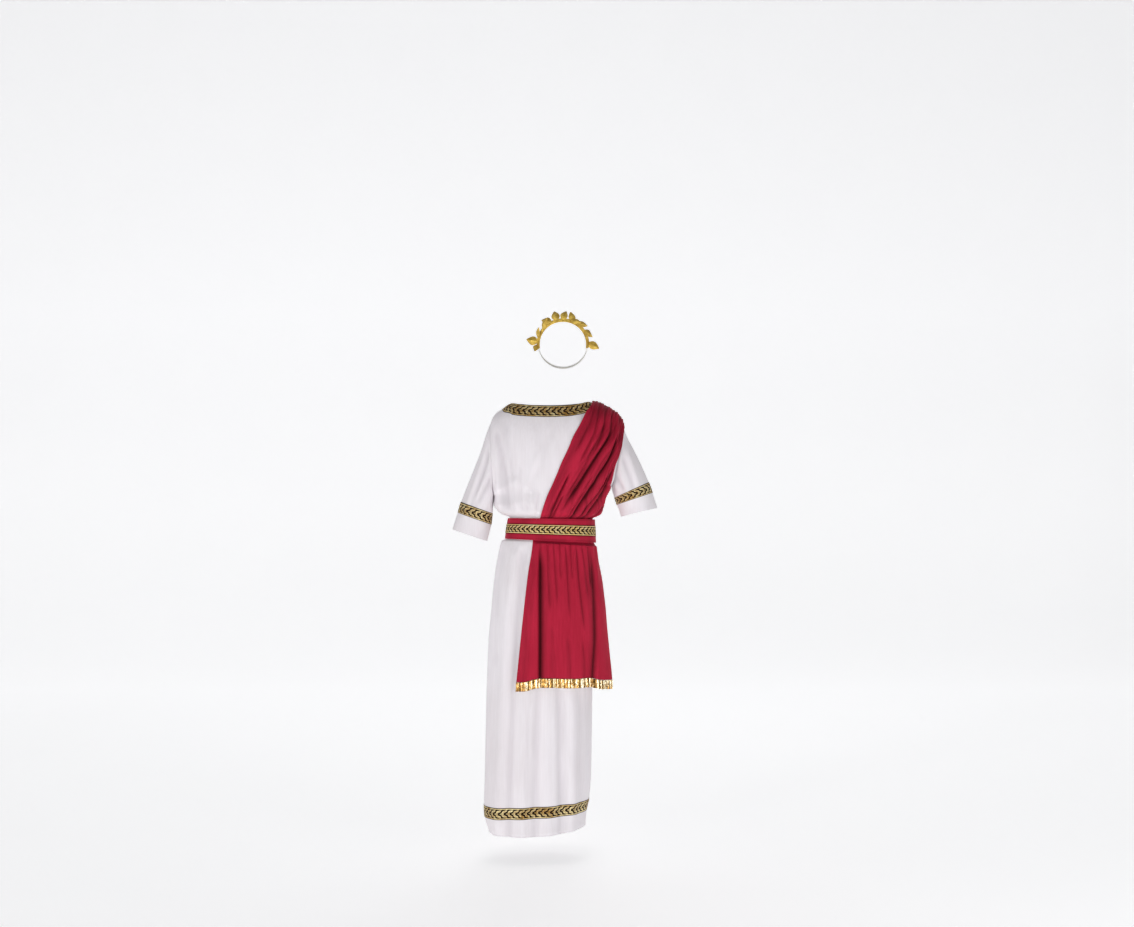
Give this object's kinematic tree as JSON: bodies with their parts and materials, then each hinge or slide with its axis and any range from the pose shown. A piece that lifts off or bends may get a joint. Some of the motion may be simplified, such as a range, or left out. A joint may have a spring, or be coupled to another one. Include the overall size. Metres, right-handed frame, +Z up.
{
  "type": "Greek king costume set of robe with sash, belt and laurel hairband",
  "caption": "Long white robe with laurel ribbon edges and a burgundy sash with gold foil frill, a broad belt and a laurel hairband, in worn form.",
  "frame": {"origin": "on the shoulder line between the two shoulders, where the worn robe is held up", "axes": "+Z up, -Y to the front of the costume, +X to the left side of the worn robe"},
  "size_m": [0.696, 0.2852, 1.7366],
  "materials": {
    "white": "fine matt knit",
    "braid": "woven metallic ribbon",
    "burgundy": "soft knit with a faint sheen",
    "foil": "bright foil-coated cloth",
    "leaf": "gold lame cloth",
    "elastic": "woven elastic"
  },
  "bodies": {
    "root": {"robe_front": "white", "robe_back": "white", "sleeve_right": "white", "sleeve_left": "white", "sleeve_right_braid": "braid", "sleeve_left_braid": "braid", "hem_braid_front": "braid", "hem_braid_back": "braid", "neck_braid_front": "braid", "neck_braid_back": "braid", "belt_braid": "braid", "sash_upper": "burgundy", "sash_lower": "burgundy", "belt": "burgundy", "foil_frill": "foil", "hairband": "leaf", "leaf_01": "leaf", "leaf_02": "leaf", "leaf_03": "leaf", "leaf_04": "leaf", "leaf_05": "leaf", "leaf_06": "leaf", "leaf_07": "leaf", "leaf_08": "leaf", "leaf_09": "leaf", "leaf_10": "leaf", "leaf_11": "leaf", "leaf_12": "leaf", "hairband_elastic": "elastic"}
  },
  "joints": []
}
